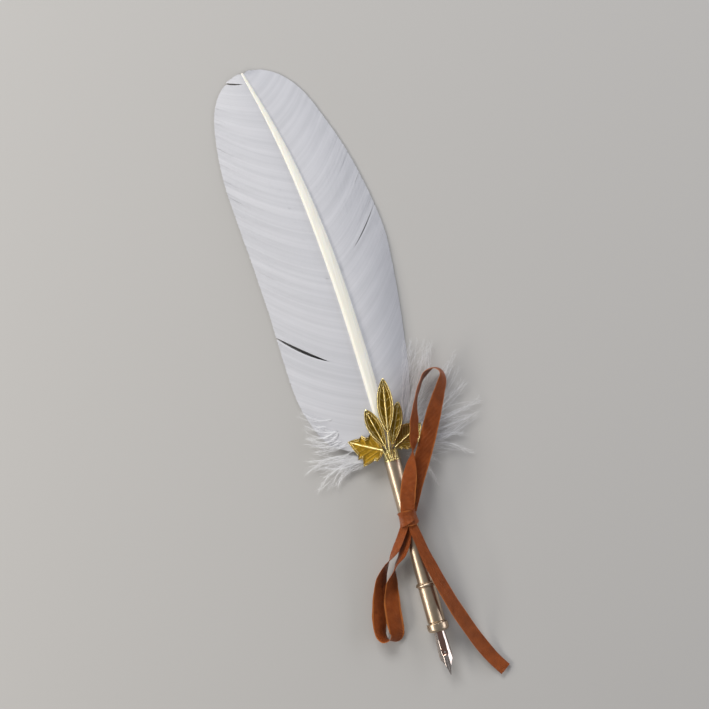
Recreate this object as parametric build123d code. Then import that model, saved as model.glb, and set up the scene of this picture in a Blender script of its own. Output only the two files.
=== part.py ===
from build123d import *
import os
from math import pi, radians, sin, tan

# Quill pen, in millimetres. The pen lies on a table: z = 0 is the table, the pen's axis runs
# along +Y above it, the nib points to -Y and the feather to +Y. The origin is the point of
# the table straight below the widest part of the front collar.

# Pen axis and the two beads that the pen rests on
BEAD_R = 4.6
AXIS_Z = BEAD_R

# Stations along the pen, from the nib's point to the barrel's mouth
NIB_POINT_Y = -21.5
NIB_SHOULDER_Y = -14.7
COLLAR_FRONT_Y = -2.7
COLLAR_LAND_Y = (-1.1, 0.9)
CORE_FRONT_Y = COLLAR_LAND_Y[0] + 0.7
SLEEVE_Y = (1.4, 16.6)
RING_Y = (16.6, 18.7)
MOUTH_Y = 71.3

# Turned metal
BARREL_R = 3.5
BARREL_BORE_R = 2.9
SLEEVE_R = 3.8
CORE_R = 3.0
SOCKET_R = 2.45
SOCKET_END_Y = 13.5
SPIGOT_R = 1.8
BUSH_BORE_R = 1.85
RING_BORE_R = 1.9
BUSH_LENGTH = 8.0
THREAD_LEAD = 1.0
THREAD_TURNS = 6

# Nib, a half tube of spring steel, and the sprung crown that grips its shank
NIB_T = 0.3
NIB_SHANK_R = 2.35
NIB_SPREAD = 100
NIB_END_Y = 11.5
CLIP_R = 1.95
CLIP_T = 0.3
CLIP_SLOT = 0.5
SLIT_W = 0.1
SLIT_END_Y = -11.6
VENT_R = 0.45

# Feather: station, centre x, centre z, half width and half height of the shaft
QUILL_R = 2.3
QUILL_END_Y = 46.3
SHAFT = (
    (QUILL_END_Y, 0.0, AXIS_Z, QUILL_R, QUILL_R),
    (76.0, 0.0, AXIS_Z, QUILL_R, QUILL_R),
    (95.0, -0.3, 4.9, 2.55, 2.2),
    (120.0, -0.8, 6.0, 2.6, 2.1),
    (145.0, -1.9, 6.5, 2.5, 1.9),
    (165.0, -3.4, 6.3, 2.4, 1.7),
    (185.0, -5.6, 5.6, 2.1, 1.5),
    (205.0, -8.7, 4.4, 1.7, 1.25),
    (225.0, -12.9, 3.0, 1.15, 0.9),
    (244.6, -18.0, 1.6, 0.5, 0.45),
)
VANE_T = 0.3
VANE_GAP = 0.03
# The vane's ridge: its place across the vane, and its height as a share of the shaft's
VANE_RIDGE = (0.55, 0.72)
# Station and the x of the vane's outer edge, on each side of the shaft
LEFT_EDGE = (
    (82.0, -17.0), (88.0, -26.0), (95.0, -29.2), (120.0, -33.1), (145.0, -33.8),
    (165.0, -35.2), (185.0, -36.8), (205.0, -37.3), (225.0, -35.2), (237.0, -30.4),
    (244.4, -20.5),
)
RIGHT_EDGE = (
    (86.0, 9.0), (95.0, 13.8), (120.0, 18.7), (145.0, 21.6), (165.0, 22.6),
    (185.0, 19.7), (205.0, 15.2), (225.0, 8.0), (237.0, -0.6), (244.4, -11.0),
)
DOWN_Z = (0.4, 2.6)
DOWN_LEFT = (
    (-3.9, 73.5), (-14.0, 69.5), (-24.0, 66.5), (-33.5, 67.6), (-39.3, 77.9),
    (-37.0, 86.0), (-33.0, 98.0), (-29.8, 95.0), (-26.6, 88.0), (-17.0, 81.4), (-3.9, 81.2),
)
DOWN_RIGHT = (
    (3.9, 77.0), (9.0, 66.0), (16.5, 56.0), (27.0, 60.0), (38.0, 68.0), (44.3, 81.0),
    (43.0, 95.0), (38.5, 104.5), (28.0, 112.0), (18.5, 117.0), (17.8, 111.0), (14.4, 95.0),
    (9.6, 85.6), (3.0, 85.6),
)

# Leaf ornament, brazed on a collar that stands on the barrel's mouth
ORNAMENT_Y = (MOUTH_Y, MOUTH_Y + 5.0)
ORNAMENT_BORE_R = 2.65
PAD_TOP_Z = 8.4
PAD_HALF_W = 2.8
LEAF_T = 0.6
STEM_W = 0.7
STEM_START_Y = 71.6
STEM_END_Y = 76.8
STEM_OVERLAP = 0.4

# Satin ribbon, one length tied in a bow: its width and thickness, and the tied knot
RIBBON_W = 6.5
RIBBON_T = 0.6
KNOT_Y = (43.1, 50.1)
KNOT_TOP_Z = 12.0
KNOT_HALF_W = 4.0
KNOT_CHAMFER = 0.8
WRAP_Y = (43.6, 49.6)
WRAP_R = 4.2
UPPER_LOOP = (
    (4.35, 46.5, 9.2), (5.2, 56.0, 9.8), (7.2, 65.5, 10.5), (8.9, 73.0, 10.9),
    (10.3, 79.5, 10.7), (12.9, 86.5, 9.8), (15.9, 93.5, 8.6), (18.6, 98.9, 7.4),
    (21.5, 103.3, 6.6), (24.9, 104.3, 6.3), (28.1, 102.9, 6.2), (29.8, 99.9, 6.1),
    (29.4, 95.4, 6.1), (27.0, 88.5, 6.3), (23.4, 81.6, 6.6), (19.2, 74.4, 7.1),
    (14.3, 67.5, 7.8), (10.0, 60.4, 8.5), (6.9, 53.6, 9.0), (5.2, 46.5, 9.2),
)
LOWER_LOOP = (
    (-5.35, 46.5, 9.3), (-6.2, 40.2, 8.2), (-10.2, 35.2, 6.8), (-15.2, 30.4, 5.6),
    (-19.2, 24.4, 4.6), (-21.9, 17.0, 3.8), (-23.4, 9.4, 3.4), (-23.9, 3.4, 3.3),
    (-22.6, -0.3, 3.3), (-19.6, -1.4, 3.3), (-16.9, 0.6, 3.3), (-16.2, 4.6, 3.3),
    (-16.4, 10.2, 3.4), (-15.3, 17.2, 3.8), (-12.6, 24.2, 4.6), (-9.0, 30.4, 5.8),
    (-5.8, 37.4, 7.7), (-4.5, 46.5, 9.3),
)
TAIL = (
    (1.4, 43.1, 9.3), (1.4, 36.0, 9.3), (3.2, 28.0, 9.2), (5.3, 19.5, 9.4),
    (7.3, 10.8, 8.5), (9.8, 2.2, 5.6), (12.6, -5.6, 2.5), (15.8, -13.2, 1.0),
    (19.3, -20.4, 0.7), (22.7, -25.7, 0.6),
)


def turned(*profile):
    """Solid turned about the pen's axis, from (radius, station) points."""
    face = make_face(Polyline(*profile, close=True))
    return Pos(0, 0, AXIS_Z) * revolve(face, Axis.Y)


def tube(inner, outer, start, end):
    """Plain turned tube."""
    return turned((inner, start), (outer, start), (outer, end), (inner, end))


def barrel_tube():
    """Thin drawn tube between the trim ring and the feather."""
    return tube(BARREL_BORE_R, BARREL_R, RING_Y[1], MOUTH_Y)


def barrel_bush():
    """Threaded brass bush pressed into the barrel's lower end; its thread is left plain."""
    return tube(BUSH_BORE_R, BARREL_BORE_R, RING_Y[1], RING_Y[1] + BUSH_LENGTH)


def quill_glue():
    """Adhesive that fills the gap between the quill and the barrel's bore."""
    return tube(QUILL_R, BARREL_BORE_R, QUILL_END_Y, MOUTH_Y)


def trim_ring():
    """Loose bead between barrel and grip: a half-round rim on a plain bore."""
    bead = (RING_Y[1] - RING_Y[0]) / 2
    rim = BEAD_R - bead
    outline = [
        Line((RING_BORE_R, RING_Y[0]), (rim, RING_Y[0])),
        ThreePointArc((rim, RING_Y[0]), (BEAD_R, RING_Y[0] + bead), (rim, RING_Y[1])),
        Line((rim, RING_Y[1]), (RING_BORE_R, RING_Y[1])),
        Line((RING_BORE_R, RING_Y[1]), (RING_BORE_R, RING_Y[0])),
    ]
    return Pos(0, 0, AXIS_Z) * revolve(make_face(outline), Axis.Y)


def grip_core():
    """Inside of the grip: nib socket in front, threaded spigot behind."""
    front = CORE_FRONT_Y
    spigot_end = RING_Y[1] + THREAD_LEAD * THREAD_TURNS
    return turned(
        (SOCKET_R, front), (CORE_R, front), (CORE_R, SLEEVE_Y[1]), (SPIGOT_R, SLEEVE_Y[1]),
        (SPIGOT_R, spigot_end), (0, spigot_end), (0, SOCKET_END_Y), (SOCKET_R, SOCKET_END_Y),
    )


def grip_sleeve():
    """Plated sleeve over the core, with a rounded lower edge."""
    start, end = SLEEVE_Y
    return turned(
        (CORE_R, start), (SLEEVE_R - 0.4, start), (SLEEVE_R - 0.12, start + 0.15),
        (SLEEVE_R, start + 0.5), (SLEEVE_R, end), (CORE_R, end),
    )


def front_collar():
    """Bell-shaped flange at the nib end; its land is what a pen stand holds."""
    land_start, land_end = COLLAR_LAND_Y
    step = CORE_FRONT_Y
    neck = 3.4
    lip = 3.2
    bell_mid = (4.2, -1.95)
    outline = [
        Line((SOCKET_R, COLLAR_FRONT_Y), (lip, COLLAR_FRONT_Y)),
        ThreePointArc((lip, COLLAR_FRONT_Y), bell_mid, (BEAD_R, land_start)),
        Polyline(
            (BEAD_R, land_start), (BEAD_R, land_end), (neck, land_end), (neck, SLEEVE_Y[0]),
            (CORE_R, SLEEVE_Y[0]), (CORE_R, step), (SOCKET_R, step), (SOCKET_R, COLLAR_FRONT_Y),
        ),
    ]
    return Pos(0, 0, AXIS_Z) * revolve(make_face(outline), Axis.Y)


def nib_clip():
    """Sprung crown of four petals inside the nib's shank, on a base in the socket's end."""
    base = SOCKET_END_Y - 1.0
    front = COLLAR_LAND_Y[0]
    crown = turned(
        (CLIP_R - CLIP_T, front), (CLIP_R, front), (CLIP_R, base), (SOCKET_R, base),
        (SOCKET_R, SOCKET_END_Y), (0, SOCKET_END_Y), (0, base), (CLIP_R - CLIP_T, base),
    )
    slot_length = base - 1.5 - front
    for turn in (45, 135):
        slot = Box(CLIP_SLOT, slot_length, 3 * SOCKET_R)
        crown -= Pos(0, front + slot_length / 2, AXIS_Z) * Rot(0, turn, 0) * slot
    return crown


def nib_section(station, drop, radius):
    """Cross-section of the nib's curved sheet, its crown a drop below the shank's."""
    centre_z = AXIS_Z + NIB_SHANK_R - drop - radius
    plane = Plane(origin=(0, station, centre_z), x_dir=(1, 0, 0), z_dir=(0, -1, 0))
    start, sweep_angle = 90 - NIB_SPREAD, 2 * NIB_SPREAD
    outer = CenterArc((0, 0), radius, start, sweep_angle)
    inner = CenterArc((0, 0), radius - NIB_T, start, sweep_angle)
    ends = [Line(inner @ 0, outer @ 0), Line(outer @ 1, inner @ 1)]
    return plane * make_face([outer, inner, *ends])


def nib():
    """Half tube that widens to its shoulders and tapers to the slit point."""
    widening_y = COLLAR_FRONT_Y - 1.0
    shank = loft([nib_section(NIB_END_Y, 0, NIB_SHANK_R),
                  nib_section(widening_y, 0, NIB_SHANK_R)], ruled=True)
    blade = loft([nib_section(widening_y, 0, NIB_SHANK_R),
                  nib_section(NIB_SHOULDER_Y, 0.5, 2.95),
                  nib_section(NIB_POINT_Y - 0.5, 1.6, 3.3)], ruled=True)
    half = (
        (NIB_SHANK_R, NIB_END_Y), (NIB_SHANK_R, widening_y), (2.82, -13.2), (2.6, -14.7),
        (1.9, -15.9), (1.2, -17.4), (0.62, -19.2), (0.16, NIB_POINT_Y),
    )
    outline = Polyline(*half, *[(-x, y) for x, y in reversed(half)], close=True)
    body = (shank + blade) & extrude(make_face(outline), 3 * AXIS_Z)
    slit_start = NIB_POINT_Y - 1
    slit = Box(SLIT_W, SLIT_END_Y - slit_start, 2 * AXIS_Z)
    body -= Pos(0, (SLIT_END_Y + slit_start) / 2, 2 * AXIS_Z) * slit
    return body - Pos(0, SLIT_END_Y, 2 * AXIS_Z) * Cylinder(VENT_R, 2 * AXIS_Z)


def feather_shaft():
    """Quill and shaft in one: an ellipse carried along the feather's curve."""
    sections = []
    for station, x, z, half_w, half_h in SHAFT:
        plane = Plane(origin=(x, station, z), x_dir=(1, 0, 0), z_dir=(0, 1, 0))
        sections.append(plane * Ellipse(half_w, half_h))
    return loft(sections, ruled=True)


def shaft_at(station):
    """The shaft's centre x, centre z and half width at a station."""
    for low, high in zip(SHAFT, SHAFT[1:]):
        if low[0] <= station <= high[0]:
            part = (station - low[0]) / (high[0] - low[0])
            return [a + part * (b - a) for a, b in zip(low[1:4], high[1:4])]
    raise ValueError(station)


def vane(edge, side):
    """Thin cambered web from the shaft's flank down to the table at its outer edge."""
    stations = sorted({y for y, _ in edge} | {s[0] for s in SHAFT[2:-1]})
    sections = []
    for station in stations:
        x, z, half_w = shaft_at(station)
        outer = edge_at(edge, station)
        root = x + side * (half_w + VANE_GAP)
        middle = root + VANE_RIDGE[0] * (outer - root)
        ridge = ((root, z), (middle, VANE_RIDGE[1] * z), (outer, VANE_T / 2))
        top = [(px, station, pz + VANE_T / 2) for px, pz in ridge]
        under = [(px, station, pz - VANE_T / 2) for px, pz in reversed(ridge)]
        sections.append(make_face(Polyline(*top, *under, close=True)))
    return loft(sections, ruled=True)


def edge_at(edge, station):
    """The outer edge's x at a station."""
    for (y0, x0), (y1, x1) in zip(edge, edge[1:]):
        if y0 <= station <= y1:
            return x0 + (x1 - x0) * (station - y0) / (y1 - y0)
    raise ValueError(station)


def down(outline):
    """Loose down at the feather's root, as one plain slab of its outer shape."""
    slab = extrude(make_face(Polyline(*outline, close=True)), DOWN_Z[1] - DOWN_Z[0])
    return Pos(0, 0, DOWN_Z[0]) * slab


def ornament_collar():
    """Ring round the quill with a flat pad on top that the leaf stems are brazed to."""
    start, end = ORNAMENT_Y
    length = end - start
    ring = tube(ORNAMENT_BORE_R, BARREL_R, start, end)
    pad = Pos(0, start + length / 2, (AXIS_Z + PAD_TOP_Z) / 2) * Box(
        2 * PAD_HALF_W, length, PAD_TOP_Z - AXIS_Z)
    bore = tube(0, ORNAMENT_BORE_R, start - 1, end + 1)
    return ring + (pad - bore)


def almond(length, half_width):
    """Plain leaf outline: two arcs from base to tip, along +Y."""
    widest = 0.55 * length
    left = ThreePointArc((0, 0), (-half_width, widest), (0, length))
    right = ThreePointArc((0, length), (half_width, widest), (0, 0))
    return make_face([left, right])


def toothed(length, half_width, teeth):
    """Serrated leaf outline: a half-sine margin with one tooth per step."""
    side = []
    for i in range(teeth):
        along = (i + 0.9) / (teeth + 0.6)
        margin = half_width * sin(pi * along ** 0.8)
        side.append((margin, along * length))
        side.append((margin - 0.4, (along + 0.02) * length))
    margin = [(0.4, 0), *side, (0, length)]
    mirrored = [(-x, y) for x, y in reversed(margin[:-1])]
    return make_face(Polyline(*margin, *mirrored, close=True))


def lobed():
    """Five-lobed leaf outline, along +Y."""
    return make_face(Polyline(
        (0.4, 0), (3.8, 3.6), (6.0, 7.0), (3.5, 8.6), (4.2, 10.8), (2.6, 11.4), (2.2, 13.0),
        (0, 16.3), (-2.5, 12.6), (-3.2, 10.4), (-4.9, 8.8), (-4.2, 7.2), (-7.1, 5.9),
        (-3.9, 3.2), (-4.0, 1.5), (-0.4, 0), close=True))


def leaf(outline, stem_x, lift, heading, rise):
    """A stem on the pad and a flat blade, lifted, turned left by heading and up by rise."""
    length = STEM_END_Y - STEM_START_Y
    height = LEAF_T + lift
    rod = Pos(stem_x, STEM_END_Y - length / 2, PAD_TOP_Z + height / 2)
    turn = Rot(0, 0, heading) * Rot(rise, 0, 0)
    place = Pos(stem_x, STEM_END_Y - STEM_OVERLAP, PAD_TOP_Z + lift) * turn
    return rod * Box(STEM_W, length, height) + place * extrude(outline, LEAF_T)


def ribbon_knot():
    """The turn of ribbon round the barrel and the knot tied on top of it."""
    start, end = KNOT_Y
    wrap = tube(BARREL_R, WRAP_R, *WRAP_Y)
    bottom = AXIS_Z + BARREL_R + 0.05
    lump = Box(2 * KNOT_HALF_W, end - start, KNOT_TOP_Z - bottom)
    lump = chamfer(lump.edges().group_by(Axis.Z)[-1], KNOT_CHAMFER)
    return wrap + Pos(0, (start + end) / 2, (KNOT_TOP_Z + bottom) / 2) * lump


def strap(points, across, upright):
    """Ribbon along straight runs joined by arcs, each as large as its two runs allow."""
    corners = [Vector(*point) for point in points]
    radii = []
    for before, corner, after in zip(corners, corners[1:], corners[2:]):
        turn = radians((corner - before).get_angle(after - corner))
        run = min((corner - before).length, (after - corner).length)
        radii.append(0.45 * run / tan(turn / 2))
    line = FilletPolyline(*points, radius=radii)
    start, heading = line @ 0, line % 0
    side = Vector(0, 0, 1).cross(heading)
    section = Plane(origin=start, x_dir=side, z_dir=heading) * Rectangle(across, upright)
    solid = sweep(section, path=line)
    print("ribbon radii", [round(r, 1) for r in radii])
    print("length", round(line.length, 1), "volume", round(solid.volume, 1),
          "section x length", round(across * upright * line.length, 1))
    return solid


PARTS = {
    "barrel_tube": barrel_tube(),
    "barrel_bush": barrel_bush(),
    "quill_glue": quill_glue(),
    "trim_ring": trim_ring(),
    "grip_core": grip_core(),
    "grip_sleeve": grip_sleeve(),
    "front_collar": front_collar(),
    "nib_clip": nib_clip(),
    "nib": nib(),
    "feather_shaft": feather_shaft(),
    "vane_left": vane(LEFT_EDGE, -1),
    "vane_right": vane(RIGHT_EDGE, 1),
    "down_left": down(DOWN_LEFT),
    "down_right": down(DOWN_RIGHT),
    "ornament_collar": ornament_collar(),
    "leaf_centre": leaf(almond(30.0, 3.7), 0.0, 1.5, -9.8, 4),
    "leaf_upper_left": leaf(almond(19.2, 3.1), -0.95, 0.85, 13.3, 0),
    "leaf_upper_right": leaf(almond(20.0, 2.9), 0.95, 0.85, -23, 0),
    "leaf_lower_left": leaf(lobed(), -2.4, 0.2, 62, -19),
    "leaf_lower_right": leaf(toothed(15.5, 5.6, 8), 2.4, 0.2, -62, -19),
    "ribbon_knot": ribbon_knot(),
    "ribbon_upper_loop": strap(UPPER_LOOP, RIBBON_T, RIBBON_W),
    "ribbon_lower_loop": strap(LOWER_LOOP, RIBBON_T, RIBBON_W),
    "ribbon_tail": strap(TAIL, RIBBON_W, RIBBON_T),
}

os.makedirs("parts", exist_ok=True)
for name, solid in PARTS.items():
    export_step(solid, f"parts/{name}.step")
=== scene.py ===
import bmesh
import bpy
import math
import numpy as np
import random
from mathutils import Matrix, Vector


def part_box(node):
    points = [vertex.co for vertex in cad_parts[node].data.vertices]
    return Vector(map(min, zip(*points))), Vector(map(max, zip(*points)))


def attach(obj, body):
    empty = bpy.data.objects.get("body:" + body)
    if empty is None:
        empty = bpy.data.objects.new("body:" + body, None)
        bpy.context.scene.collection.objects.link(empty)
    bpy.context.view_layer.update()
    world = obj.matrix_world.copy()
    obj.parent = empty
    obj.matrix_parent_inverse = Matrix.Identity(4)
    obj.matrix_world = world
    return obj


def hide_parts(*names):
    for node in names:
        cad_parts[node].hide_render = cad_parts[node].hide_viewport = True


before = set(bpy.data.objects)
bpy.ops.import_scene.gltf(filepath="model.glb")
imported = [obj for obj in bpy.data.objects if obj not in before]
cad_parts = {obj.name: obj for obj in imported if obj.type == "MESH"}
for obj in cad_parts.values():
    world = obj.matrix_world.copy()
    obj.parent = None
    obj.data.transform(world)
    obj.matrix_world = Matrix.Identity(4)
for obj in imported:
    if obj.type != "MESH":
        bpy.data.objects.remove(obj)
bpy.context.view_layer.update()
MM = 0.001


# ---- Table, light and camera ----
# A pale matt table top, two long soft lamps low on each side, which draw the two bright
# lines along the turned metal, and a camera straight above the pen.
def linear(code):
    """An sRGB hex colour as linear RGBA."""
    parts = [int(code[i:i + 2], 16) / 255 for i in (1, 3, 5)]
    return [c / 12.92 if c <= 0.04045 else ((c + 0.055) / 1.055) ** 2.4 for c in parts] + [1]


def node(tree, kind, inputs=None, **settings):
    """Adds one node with its settings; an input takes a value, a socket or a node's first output."""
    made = tree.nodes.new(kind)
    for name, value in settings.items():
        setattr(made, name, value)
    for key, value in (inputs or {}).items():
        if isinstance(value, bpy.types.Node):
            value = [socket for socket in value.outputs if socket.enabled][0]
        if isinstance(value, bpy.types.NodeSocket):
            tree.links.new(value, made.inputs[key])
        else:
            made.inputs[key].default_value = value
    return made


def new_material(name):
    """An empty node material and its tree."""
    material = bpy.data.materials.new(name)
    material.use_nodes = True
    material.node_tree.nodes.clear()
    return material, material.node_tree


def finish_material(tree, surface):
    """Ends a material with one shader, which has the surface's values and links."""
    shader = node(tree, "ShaderNodeBsdfPrincipled", surface)
    node(tree, "ShaderNodeOutputMaterial", {"Surface": shader})


def add_object(name, data):
    """A scene object for the data."""
    made = bpy.data.objects.new(name, data)
    bpy.context.scene.collection.objects.link(made)
    return made


def mesh_of(name, points, faces, smooth_below=None):
    """A mesh object from points in millimetres; edges sharper than the angle stay sharp."""
    mesh = bpy.data.meshes.new(name)
    mesh.from_pydata([[c * MM for c in p] for p in points], [], faces)
    if smooth_below:
        mesh.shade_smooth()
        mesh.set_sharp_from_angle(angle=math.radians(smooth_below))
    return add_object(name, mesh)


def lamp(name, place, aim, size, power, colour):
    """A rectangular soft lamp at a place, turned towards its aim."""
    data = bpy.data.lights.new(name, "AREA")
    data.shape = "RECTANGLE"
    data.size, data.size_y = size
    data.energy = power
    data.color = linear(colour)[:3]
    made = add_object(name, data)
    made.location = place
    made.rotation_euler = (Vector(aim) - Vector(place)).to_track_quat("-Z", "Y").to_euler()
    return made


TABLE_HALF = 1500
# The table's face is a little below the pen's lowest hair
TABLE_FACE = -0.15
corners = [(x * TABLE_HALF, y * TABLE_HALF, TABLE_FACE) for x, y in ((-1, -1), (1, -1), (1, 1), (-1, 1))]
table_top = mesh_of("table_top", corners, [(0, 1, 2, 3)])
table_paint, tree = new_material("table_matt_paint")
finish_material(tree, {"Base Color": linear("#bbb9b6"), "Roughness": 0.75})
table_top.data.materials.append(table_paint)

middle = (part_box("vane_left")[1].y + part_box("nib")[0].y) / 2
lamp_left = lamp("lamp_left", (-0.8, middle, 0.43), (0, middle, 0), (1.2, 0.22), 5.8, "#fffaf2")
lamp_right = lamp("lamp_right", (0.85, middle, 0.3), (0, middle, 0), (1.2, 0.36), 3.6, "#f8f8ff")
lamp_far = lamp("lamp_far", (-0.25, middle + 1.0, 0.9), (0, middle, 0), (0.9, 0.5), 11.2, "#ffffff")

world = bpy.data.worlds.new("room")
world.use_nodes = True
room_light = world.node_tree.nodes["Background"].inputs
room_light["Color"].default_value = linear("#d8dade")
room_light["Strength"].default_value = 0.31
bpy.context.scene.world = world

CAMERA_HEIGHT = 1.3
VIEW_WIDTH = 0.2978
ROLL = -15.33
camera_data = bpy.data.cameras.new("camera")
camera_data.sensor_width = 36
camera_data.lens = 36 * CAMERA_HEIGHT / VIEW_WIDTH
camera = add_object("camera", camera_data)
camera.location = (-0.0036, middle + 0.0069, CAMERA_HEIGHT)
camera.rotation_euler = (0, 0, math.radians(ROLL))
bpy.context.scene.camera = camera
bpy.context.scene.view_settings.view_transform = "Standard"


# ---- Feather shaft ----
# The quill and shaft of a goose feather, one piece of smooth ivory keratin: round where it
# is glued in the barrel, then flattened, with a groove along its underside, and tapering.
def stations_of(name):
    """Station, centre x, centre z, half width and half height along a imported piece."""
    rings = {}
    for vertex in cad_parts[name].data.vertices:
        rings.setdefault(round(vertex.co.y * 10000), []).append(vertex.co / MM)
    table = []
    for ring in sorted(rings.values(), key=lambda points: points[0].y):
        if len(ring) >= 8:
            low = [min(p[i] for p in ring) for i in range(3)]
            high = [max(p[i] for p in ring) for i in range(3)]
            table.append((ring[0].y, (low[0] + high[0]) / 2, (low[2] + high[2]) / 2,
                          (high[0] - low[0]) / 2, (high[2] - low[2]) / 2))
    return np.array(table)


def smooth_row(table, at):
    """A row of the table at any value of its first column, on a smooth curve through it."""
    i = int(np.clip(np.searchsorted(table[:, 0], at) - 1, 0, len(table) - 2))
    a, b = table[i], table[i + 1]
    before = table[i - 1] if i else a
    after = table[i + 2] if i + 2 < len(table) else b
    span = b[0] - a[0]
    t = (at - a[0]) / span
    slope_a = (b - before) / (b[0] - before[0]) * span
    slope_b = (after - a) / (after[0] - a[0]) * span
    return ((2 * t ** 3 - 3 * t ** 2 + 1) * a + (t ** 3 - 2 * t ** 2 + t) * slope_a
            + (3 * t ** 2 - 2 * t ** 3) * b + (t ** 3 - t ** 2) * slope_b)[1:]


def tube_faces(rings, around):
    """Faces of a tube of rings, closed at both ends."""
    faces = []
    for ring in range(rings - 1):
        for i in range(around):
            j = (i + 1) % around
            faces.append((ring * around + i, ring * around + j,
                          (ring + 1) * around + j, (ring + 1) * around + i))
    return faces + [tuple(reversed(range(around))), tuple(range((rings - 1) * around, rings * around))]


def two_tone(name, dark, light, scale, surface, detail=2.0, relief=None):
    """A material that wanders between two tones on a noise in the piece's own space."""
    material, tree = new_material(name)
    place = node(tree, "ShaderNodeTexCoord")
    drawn = node(tree, "ShaderNodeMapping", {"Vector": place.outputs["Object"], "Scale": scale})
    grain = node(tree, "ShaderNodeTexNoise", {"Vector": drawn, "Scale": 1.0, "Detail": detail})
    tint = node(tree, "ShaderNodeMix", {0: grain, 6: linear(dark), 7: linear(light)}, data_type="RGBA")
    surface = {"Base Color": tint, **surface}
    if relief:
        strength, depth = relief
        surface["Normal"] = node(tree, "ShaderNodeBump", {
            "Height": grain, "Strength": strength, "Distance": depth})
    finish_material(tree, surface)
    return material


def dress(made, material, body):
    """Gives a piece its material and the body that it rides on."""
    made.data.materials.append(material)
    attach(made, body)


shaft_table = stations_of("feather_shaft")
SHAFT_RINGS = 220
SHAFT_AROUND = 36
GROOVE = 0.28
# Round up to the first station, and fully squared and grooved from the second on
FLATTENING = (80, 120)
SQUARING = 0.08
points = []
for ring in range(SHAFT_RINGS):
    y = shaft_table[0, 0] + (shaft_table[-1, 0] - shaft_table[0, 0]) * ring / (SHAFT_RINGS - 1)
    x, z, half_w, half_h = smooth_row(shaft_table, y)
    flat = float(np.interp(y, FLATTENING, (0, 1)))
    for i in range(SHAFT_AROUND):
        angle = -math.tau * i / SHAFT_AROUND
        wide, tall = math.cos(angle), math.sin(angle)
        groove = flat * GROOVE * max(0, -tall) ** 3 * math.exp(-(wide * 3.5) ** 2)
        squared = 1 + SQUARING * flat * abs(math.sin(2 * angle))
        points.append((x + half_w * wide * squared, y, z + half_h * (tall * squared + 2 * groove)))
shaft = mesh_of("shaft", points, tube_faces(SHAFT_RINGS, SHAFT_AROUND), 40)

# Keratin is ivory, slightly waxy and lets a little light through at its thin edges.
keratin = two_tone("polished_keratin", "#e3dfcf", "#fbfaf4", (1600, 60, 1600), {
    "Roughness": 0.32, "IOR": 1.54, "Subsurface Weight": 0.2,
    "Subsurface Radius": (0.6, 0.45, 0.3), "Subsurface Scale": 0.001}, 3.0, (0.15, 0.00005))
dress(shaft, keratin, "pen_body")
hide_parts("feather_shaft")


# ---- Feather vanes ----
# Each side of the feather is some hundreds of fine barbs of the same keratin, hooked side by
# side into a web that arches down to the table. A handled feather's web has parted in places.
def smooth_path(points, count):
    """Evenly numbered points on a smooth curve through a short list of points."""
    rows = np.array([(i, *p) for i, p in enumerate(points)], float)
    return np.array([smooth_row(rows, i * (len(points) - 1) / (count - 1)) for i in range(count)])


LEFT_MARGIN = smooth_path([
    (-20.0, 79.5), (-26.2, 88), (-30.6, 99), (-32.6, 110), (-33.4, 127), (-33.9, 145),
    (-35.2, 166), (-36.8, 188), (-37.5, 203), (-36.4, 219), (-33.7, 231.5), (-29.3, 239.0),
    (-24.2, 243.0), (-18.6, 245.0)], 400)
RIGHT_MARGIN = smooth_path([
    (9.5, 86.5), (13.2, 92), (16.6, 106), (18.9, 122), (21.0, 140), (22.2, 155), (22.5, 166),
    (20.6, 181), (16.5, 200), (11.2, 216), (5.0, 230.5), (-1.6, 239.0), (-8.4, 243.5),
    (-14.5, 245.0), (-17.8, 245.1)], 400)
# Parted places: root station, where along the barb the gap starts, its width in the middle
# and at the margin, and the station range of barbs that give way, all in millimetres
LEFT_GAPS = [(112.6, 0.36, 1.5, 0.7, 6), (239.6, 0.1, 0.45, 0.9, 1.6), (131.0, 0.72, 0.2, 0.1, 2),
             (143.0, 0.62, 0.15, 0.1, 2), (121.0, 0.55, 0.12, 0.05, 2)]
RIGHT_GAPS = [(155.2, 0.33, 0.75, 0.25, 4), (181.5, 0.62, 0.2, 0.35, 3), (171.0, 0.8, 0.25, 0.3, 2),
              (85.2, 0.55, 0.7, 1.3, 3), (101.0, 0.5, 0.15, 0.1, 2), (205.0, 0.7, 0.1, 0.25, 2)]
# How steeply the barbs run towards the tip, at four stations
RISE_STATIONS = (78, 112, 205, 243)
LEFT_RISE = (0.42, 0.68, 0.68, 0.26)
RIGHT_RISE = (0.6, 1.03, 1.03, 0.68)
BARB_PITCH = 0.34
BARB_POINTS = 14
# A barb starts this far out and up on the shaft, and ends just above the table
ROOT_REACH = 0.93
ROOT_LIFT = 0.25
TABLE_CLEARANCE = 0.25
FIRST_SLOPE = 0.55
ARCH_POWER = 1.9
# Barbs overlap their neighbours, and differ a little in tone, length, bend and height
OVERLAP = 1.8
SPACING_LIMITS = (0.08, 1.0)
TONE_PULL = 0.3
TONE_STEP = 0.16
SHORTEST = 0.01
BEND_MM = 0.1
WAVE_MM = 0.05


def barb_rise(side, root):
    """How far a barb rises towards the feather's tip for each millimetre of its reach."""
    return np.interp(root, RISE_STATIONS, LEFT_RISE if side < 0 else RIGHT_RISE)


def barb_end(side, margin, root, root_x):
    """The margin point that a barb with this root reaches."""
    past = margin[:, 1] - barb_rise(side, root) * np.abs(margin[:, 0] - root_x) - root
    return np.interp(0, past, margin[:, 0]), np.interp(0, past, margin[:, 1])


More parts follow.
